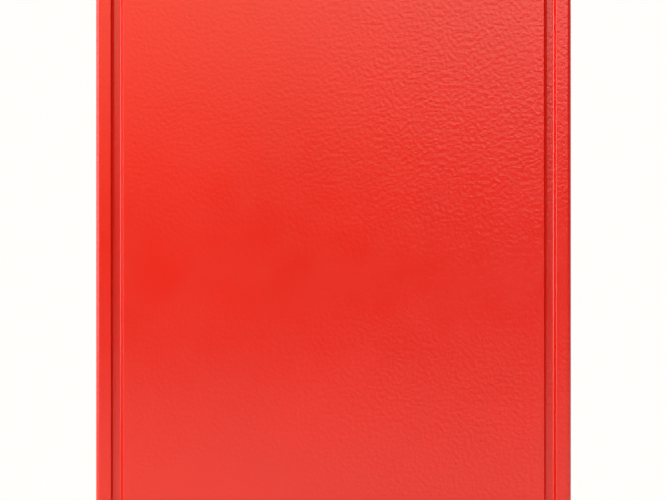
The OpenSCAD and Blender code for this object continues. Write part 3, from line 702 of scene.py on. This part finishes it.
def clamp_screws():
    """Hexagon bolts through the ears of the pipe clamps, with threads past the nuts."""
    bolt_r, head_len, thread_len, pitch = 4 * MM, 5 * MM, 17 * MM, 1.25 * MM
    inside = 3 * MM  # the shank starts inside the head
    made = []
    for low, high in solids_of("clamp_bolts"):
        start = Vector(((low.x + high.x) / 2, low.y, (low.z + high.z) / 2))
        outline = shank(bolt_r, inside, high.y - low.y, thread_len, pitch)
        made.append(turned([(inside, 0)] + outline, start, (0, 1, 0), 40))
        made.append(hexagon((high.x - low.x) / 2, head_len, start, Vector((0, 1, 0))))
    return place(together(*made), "clamp_screws", "cabinet", "zinc_plated_steel", "clamp_bolts")


def coach_bolts():
    """Round-headed bolts through the ears of the branch housing."""
    bolt_r, head_len, thread_len, pitch = 6 * MM, 7 * MM, 24 * MM, 1.75 * MM
    made = []
    for low, high in solids_of("branch_bolts"):
        start = Vector((high.x, (low.y + high.y) / 2, (low.z + high.z) / 2))
        head_r = (high.y - low.y) / 2
        dome = [(head_len * (1 - math.cos(a)), head_r * math.sin(a))
                for a in (0.35, 0.7, 1.05, 1.35, TURN / 4)]
        outline = shank(bolt_r, head_len, high.x - low.x, thread_len, pitch)
        made.append(turned([(0, 0)] + dome + outline, start, (-1, 0, 0), 48))
    return place(together(*made), "coach_bolts", "cabinet", SLOT_OF["branch_bolts"], "branch_bolts")


HOSE_THREAD_R, HOSE_PITCH = 39 * MM, 3.6 * MM


def threaded_outlet():
    """The hose adapter with its cut hose thread."""
    cap_turn = next(j for j in frame["record"]["behaviour"]["joints"] if j["name"] == "cap_turn")
    at, way = Vector(cap_turn["pos_m"]), Vector(cap_turn["axis"]).normalized()
    adapter = copy_of("outlet_adapter")
    along = [(v.co - at).dot(way) for v in adapter.data.vertices]
    radii = [((v.co - at) - way * (v.co - at).dot(way)).length for v in adapter.data.vertices]
    thread = [a for a, r in zip(along, radii) if near(r, HOSE_THREAD_R)]
    start, end = min(thread) + MM, max(thread) - MM
    ring = thread_outline(HOSE_THREAD_R, start, end, HOSE_PITCH, HOSE_PITCH * 0.45)
    ring += [(end, HOSE_THREAD_R + 2 * MM), (start, HOSE_THREAD_R + 2 * MM)]
    soften(adapter, 0.7 * MM)
    carve(adapter, turned(ring, at, way, 96))
    return place(adapter, "threaded_outlet", "cabinet", "cast_brass", "outlet_adapter")


STIFFENER_T = 1.2 * MM
WELD_R = 3 * MM
WELD_END, WELD_STEP, WELD_FOOT = 20 * MM, 75 * MM, 5.5 * MM  # from the ends, apart, from the sides


def spot_welds(face, points):
    """Shallow electrode dents at points of a face that looks along +Y."""
    dent = [(-0.35 * MM, 0), (-0.3 * MM, WELD_R * 0.6), (-0.1 * MM, WELD_R * 0.92), (0.1 * MM, WELD_R),
            (MM, WELD_R), (MM, 0)]
    return together(*[turned(dent, (x, face, z), (0, 1, 0), 20) for x, z in points])


def welded_stiffeners():
    """The hat sections on the back of the door, spot-welded through their feet."""
    sections = solids_of("door_stiffeners")
    points = []
    for low, high in sections:
        rows = int((high.z - low.z - 2 * WELD_END) / WELD_STEP)
        step = (high.z - low.z - 2 * WELD_END) / rows
        points += [(x, low.z + WELD_END + k * step) for x in (low.x + WELD_FOOT, high.x - WELD_FOOT)
                   for k in range(rows + 1)]
    face = sections[0][0].y + STIFFENER_T
    piece = soften(copy_of("door_stiffeners"), 0.5 * MM)
    carve(piece, spot_welds(face, points))
    return place(piece, "welded_stiffeners", "door", "red_powder_coat", "door_stiffeners")


folded_body()
pipe_grommets()
domed_rivets("body_rivets", "body_hinge_rivets", "cabinet")
domed_rivets("door_rivets", "door_hinge_rivets", "door")
hexagon_nuts("clamp_hexagons", "clamp_nuts", "cabinet", 1)
hexagon_nuts("branch_hexagons", "branch_nuts", "cabinet", 0)
hexagon_nuts("wheel_hexagon", "wheel_nut", "stem", 0)
hexagon_nuts("lock_hexagons", "lock_nuts", "door", 1)
clamp_screws()
coach_bolts()
threaded_outlet()
welded_stiffeners()


# ---------- pieces that keep the CAD's shape, with their edges broken ----------

BROKEN_EDGES = {  # radii in millimetres
    "back_panel": 0.3, "wall_doublers": 0.8, "body_hinge_leaves": 0.45, "door_hinge_leaves": 0.45,
    "hinge_pins": 0.5, "riser_rails": 0.7, "rail_nuts": 0.8, "clamp_studs": 0.5, "clamp_backs": 0.7,
    "clamp_fronts": 0.7, "clamp_liners": 0.6, "riser_pipe": 0.5, "branch_gasket": 0.4,
    "branch_nipple": 0.4, "valve_bonnet": 0.8, "bonnet_gasket": 0.3, "gland_packing": 0.3,
    "gland_follower": 0.4, "gland_nut": 0.8, "spanner_clips": 0.3, "valve_disc": 0.8,
    "disc_washer": 0.5, "disc_screw": 0.4, "valve_stem": 0.6, "wheel_washer": 0.3,
    "cap_swivel": 0.4, "outlet_cap": 1.2, "cap_gasket": 0.3, "door_seal": 2.2,
    "lock_barrels": 0.6, "upper_insert": 0.4, "upper_cam": 0.5, "upper_cam_screw": 0.4,
    "lower_insert": 0.4, "lower_cam": 0.5, "lower_cam_screw": 0.4,
}
for node, radius in BROKEN_EDGES.items():
    piece = soften(copy_of(node), radius * MM)
    run(piece, "TRIANGULATE")
    place(piece, node + "_finished", BODY_OF[node], SLOT_OF[node], node)


# ---------- castings and the forged spanner ----------

CASTINGS = (  # node, name, grain of its skin in millimetres, how often it is smoothed
    ("valve_body", "valve_casting", 1.4, 5),
    ("branch_housing", "branch_casting", 1.4, 4),
    ("branch_strap", "strap_casting", 1.4, 4),
    ("handwheel", "wheel_casting", 0.9, 8),
    ("hose_spanner", "spanner_forging", 0.7, 4),
)
for node, name, grain, passes in CASTINGS:
    place(cast(node, grain * MM, passes), name, BODY_OF[node], SLOT_OF[node], node, smooth=60)


# ---------- room, light and camera ----------

VIEW_W = 0.8402             # width that the picture covers at the door's face
LENS, SENSOR = 85.0, 36.0
TENT_LEFT, TENT_RIGHT = 0.8, 0.12   # how bright the tent's two sides are
LENS_GAP = 0.05                     # the dark gap in the tent at the height of the lens
HEAD_PANEL = 1.9                    # the lit panel over the lens
LEFT_STRIP = 4.2                    # a tall lit strip to the left
BEHIND = 0.9                        # the lit sweep behind the cabinet
LOW_GLOW = 1.1                      # what the white table throws back
WARM, COOL = (1.0, 0.92, 0.62), (1.0, 0.99, 0.97)
SOFTBOX_AT, SOFTBOX_TOWARD = (-1.35, -0.95, 1.3), (0, -0.2, 0.1)
SOFTBOX_SIZE, SOFTBOX_POWER = (1.0, 1.2), 22
FLOOR_SIDE, FLOOR_FRONT, FLOOR_BACK = 4.0, -5.0, 0.9
FLOOR_T, FLOOR_GAP = 5 * MM, 0.4 * MM


def studio():
    """A paper floor inside a white tent, whose light is set by the direction it comes from."""
    lone()
    foot = cad_bounds[0][2]
    floor = block((-FLOOR_SIDE, FLOOR_FRONT, foot - FLOOR_T), (FLOOR_SIDE, FLOOR_BACK, foot - FLOOR_GAP))
    floor.name = "floor"
    paper = Finish("floor_paper")
    paper.set(Base_Color=(0.9, 0.9, 0.9), Roughness=0.8,
              Emission_Color=(1.0, 1.0, 1.0), Emission_Strength=0.15)
    floor.data.materials.append(paper.material)
    world = bpy.data.worlds.new("white_tent")
    bpy.context.scene.world = world
    world.use_nodes = True
    tree = world.node_tree
    toward = add_node(tree, "ShaderNodeTexCoord", "Generated")
    across, deep, up = (add_node(tree, "ShaderNodeSeparateXYZ", k, _0=toward) for k in range(3))
    # Each runs from -1 to 1 with the way that is looked in: to the right, behind the cabinet, and up.
    sweep = deep.ramp(-0.05, 0.2)
    side = across.ramp(0.6, 0.1, TENT_RIGHT, TENT_LEFT)
    level = (up + 0.03).sum("ABSOLUTE").ramp(0.04, 0.17)
    ahead = (across - 0.08).sum("ABSOLUTE").ramp(0.5, 0.25)
    beside = across.ramp(0.0, 0.2) * 0.4 + 1
    soft, crisp = up.ramp(-0.02, 0.3), up.ramp(0.06, 0.19)
    rise = soft + (crisp - soft) * across.ramp(-0.1, 0.08)
    panel = rise * up.ramp(0.6, 0.4) * ahead * beside * HEAD_PANEL
    gap = 1 - (1 - level) * ahead * (1 - LENS_GAP)
    strip = across.ramp(-0.6, -0.8) * up.sum("ABSOLUTE").ramp(0.55, 0.3) * deep.ramp(-0.05, -0.25)
    table = up.ramp(-0.08, -0.24) * ahead * beside * LOW_GLOW
    tent = side * gap + panel + strip * LEFT_STRIP + table + sweep * BEHIND
    seen = add_node(tree, "ShaderNodeLightPath", "Is Camera Ray")
    warmth = across.ramp(-0.12, 0.25) + across.ramp(-0.35, -0.6) + seen
    backdrop = tree.nodes["Background"]
    feed(tree, backdrop.inputs["Strength"], tent * (1 - seen) + seen)
    feed(tree, backdrop.inputs["Color"], mixed(tree, warmth, WARM, COOL))


def softbox(name, at, toward, size, power):
    """A lit panel at one place that faces another."""
    light = bpy.data.lights.new(name, "AREA")
    light.shape = "RECTANGLE"
    light.size, light.size_y = size
    light.energy = power
    light.color = WARM
    lamp = bpy.data.objects.new(name, light)
    lamp.location = at
    lamp.rotation_euler = (Vector(toward) - Vector(at)).to_track_quat("-Z", "Y").to_euler()
    bpy.context.scene.collection.objects.link(lamp)


studio()
softbox("left_softbox", SOFTBOX_AT, SOFTBOX_TOWARD, SOFTBOX_SIZE, SOFTBOX_POWER)
camera = bpy.data.cameras.new("camera")
camera.lens = LENS
camera.sensor_width = SENSOR
eye = bpy.data.objects.new("camera", camera)
eye.location = (0, FRONT - VIEW_W * LENS / SENSOR, 0)
eye.rotation_euler = (TURN / 4, 0, 0)
bpy.context.scene.collection.objects.link(eye)
bpy.context.scene.camera = eye
bpy.context.scene.view_settings.view_transform = "Standard"
